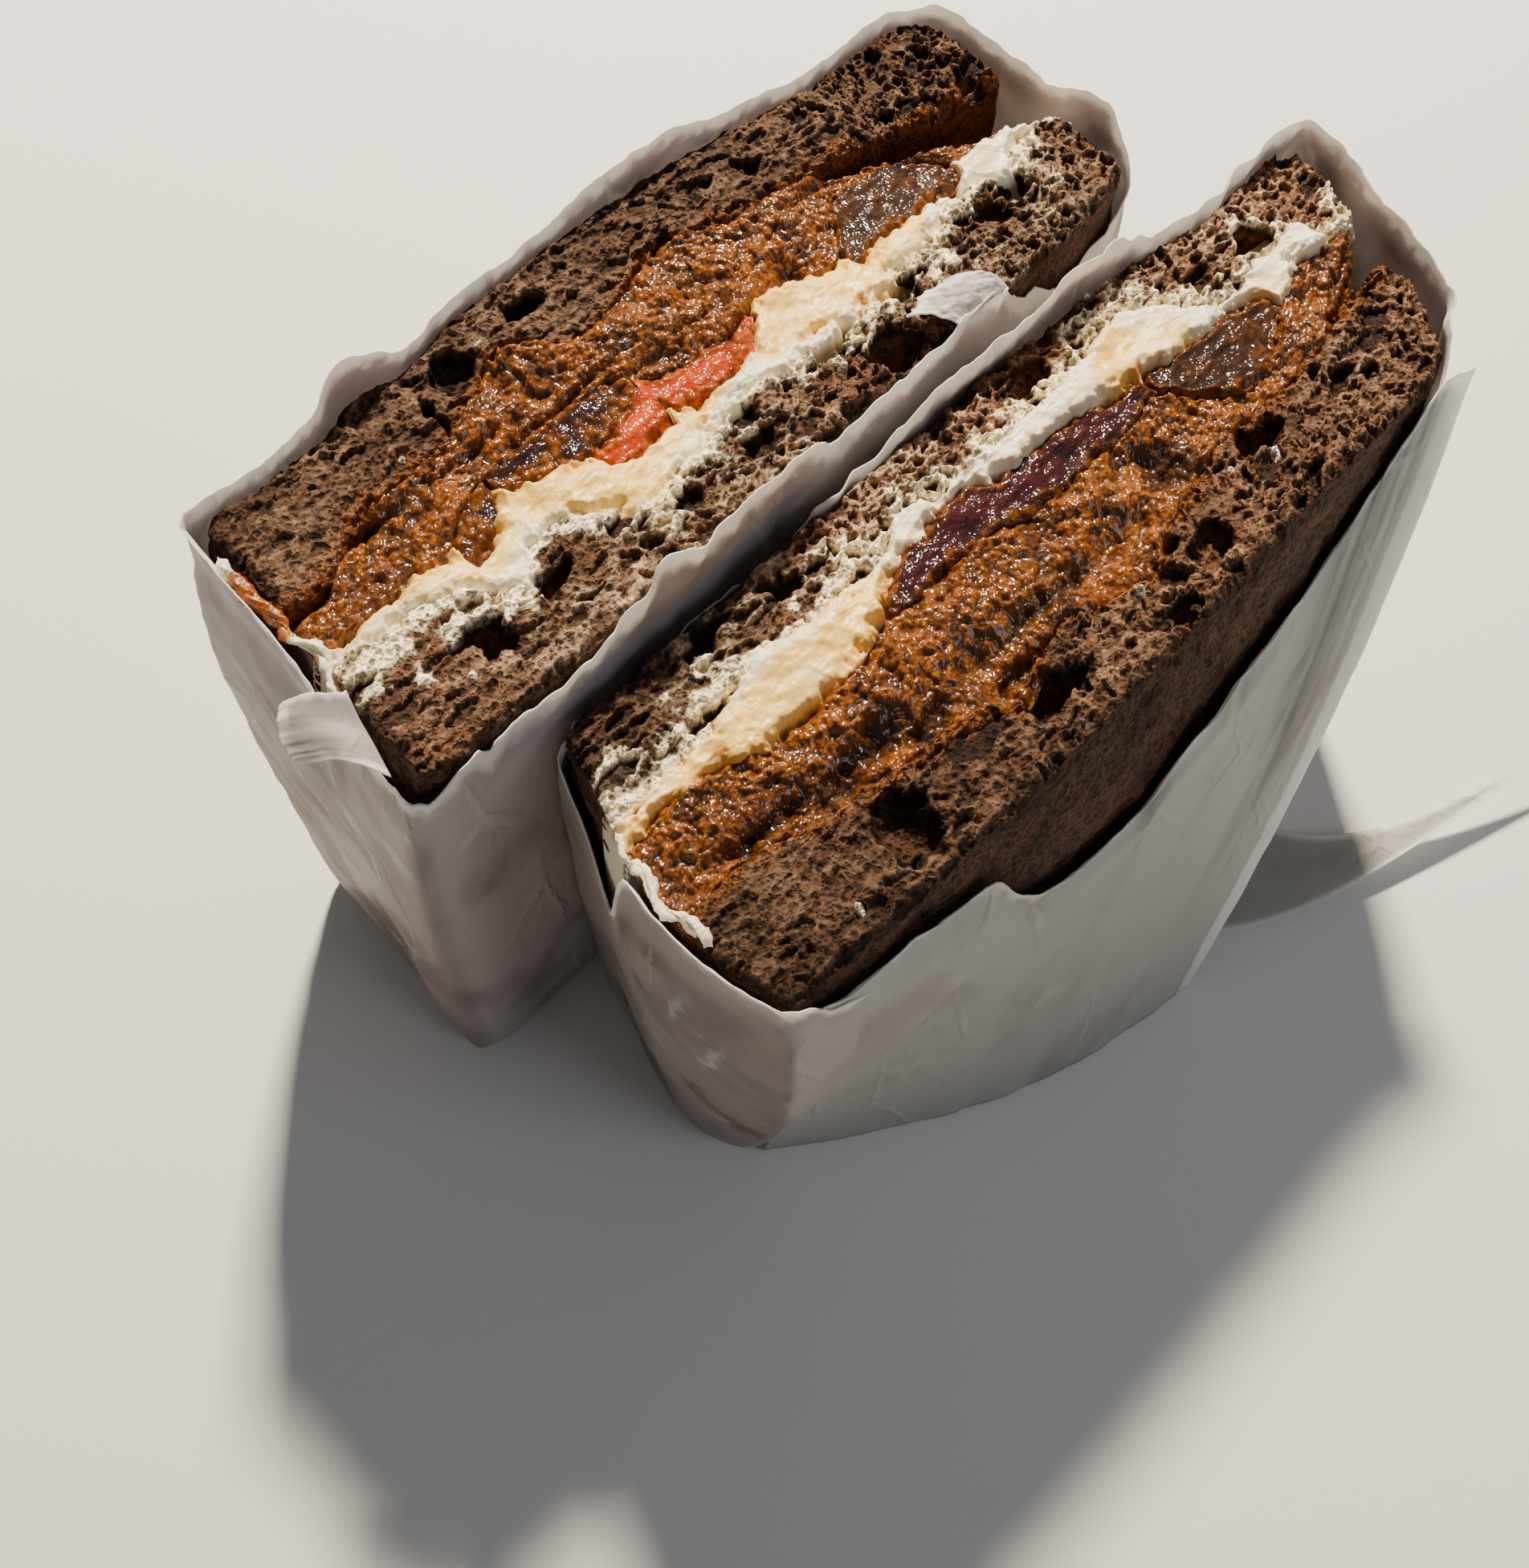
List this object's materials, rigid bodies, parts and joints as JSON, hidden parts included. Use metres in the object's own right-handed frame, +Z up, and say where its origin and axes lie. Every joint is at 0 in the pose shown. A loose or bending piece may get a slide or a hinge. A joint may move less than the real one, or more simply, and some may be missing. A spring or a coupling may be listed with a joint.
{
  "type": "halved rye sandwich in a paper wrap",
  "caption": "Dark rye sandwich cut in half through its paper wrap and opened like a book, both cut faces up, with chunky spread, cream cheese and roasted vegetables.",
  "frame": {"origin": "on the flat underside of the wrap, on the strip of paper that joins the feet of the two halves", "axes": "+Z up, out of the cut faces; +X along the halves towards their far ends; +Y towards the left half"},
  "size_m": [0.1643, 0.1445, 0.0899],
  "materials": {
    "rye_bread": "matte, porous crumb",
    "chunky_spread": "moist, lumpy",
    "cream_cheese": "soft, slightly moist",
    "aubergine": "moist, roasted",
    "roast_slice": "moist, roasted",
    "red_pepper": "moist, roasted",
    "greaseproof_paper": "thin paper with grease stains"
  },
  "bodies": {
    "root": {"bread_outer_left": "rye_bread", "bread_inner_left": "rye_bread", "spread_left": "chunky_spread", "cream_left": "cream_cheese", "aubergine_end_left": "aubergine", "aubergine_strip_left": "aubergine", "roast_slice_left": "roast_slice", "red_pepper_left": "red_pepper", "bread_outer_right": "rye_bread", "bread_inner_right": "rye_bread", "spread_right": "chunky_spread", "cream_right": "cream_cheese", "aubergine_strip_right": "aubergine", "roast_slice_right": "roast_slice", "aubergine_skin_right": "aubergine", "paper_wrap": "greaseproof_paper"}
  },
  "joints": []
}
